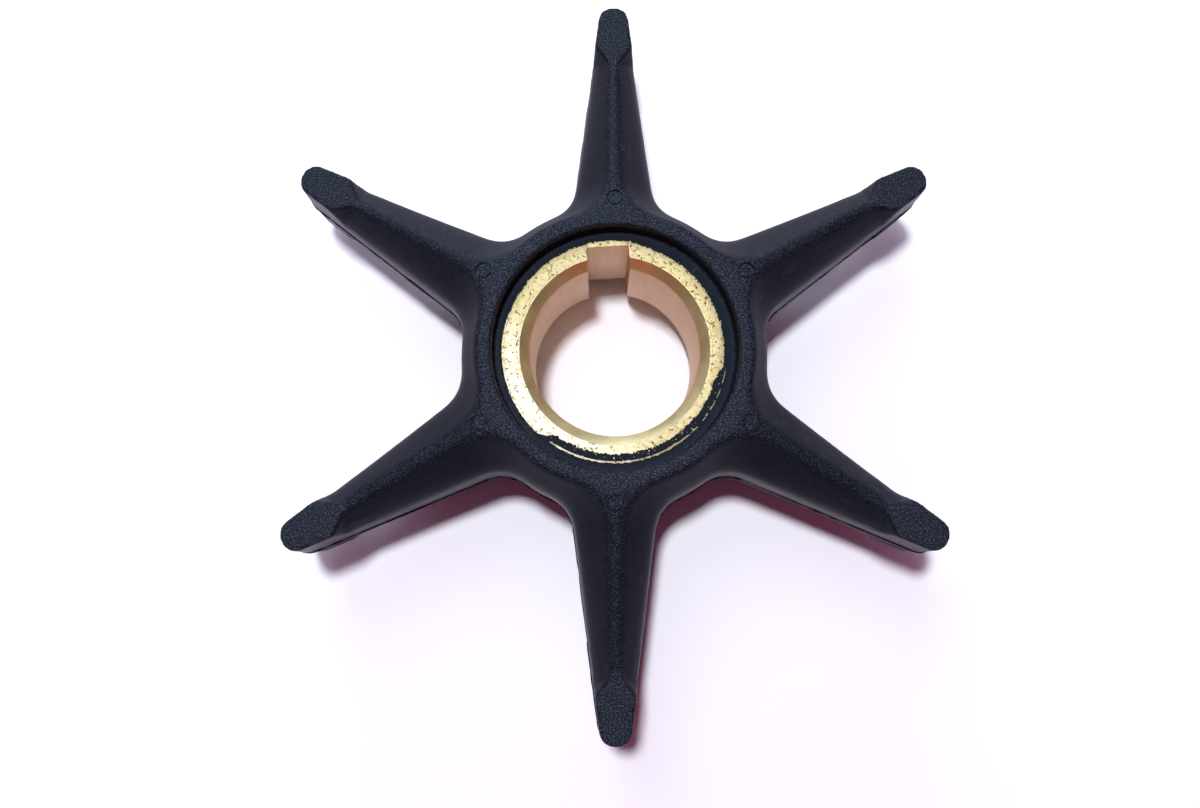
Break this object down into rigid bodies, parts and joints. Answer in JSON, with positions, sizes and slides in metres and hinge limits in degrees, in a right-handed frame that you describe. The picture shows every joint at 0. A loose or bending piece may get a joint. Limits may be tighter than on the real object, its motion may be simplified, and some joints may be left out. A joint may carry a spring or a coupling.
{
  "type": "pump impeller",
  "caption": "Flexible rubber vane impeller moulded on a keyed brass bush, for a small cooling-water pump.",
  "frame": {"origin": "on the shaft axis, in the middle of the height, where the mould halves part", "axes": "+Z along the shaft towards the side that carries the pin marks, +Y along one arm"},
  "size_m": [0.0616, 0.0704, 0.0192],
  "materials": {
    "moulded_rubber": "moulded with a fine matte grain",
    "turned_brass": "turned bore, machined faces, unpolished"
  },
  "bodies": {
    "root": {"rubber_vanes": "moulded_rubber", "keyed_bush": "turned_brass"}
  },
  "joints": []
}
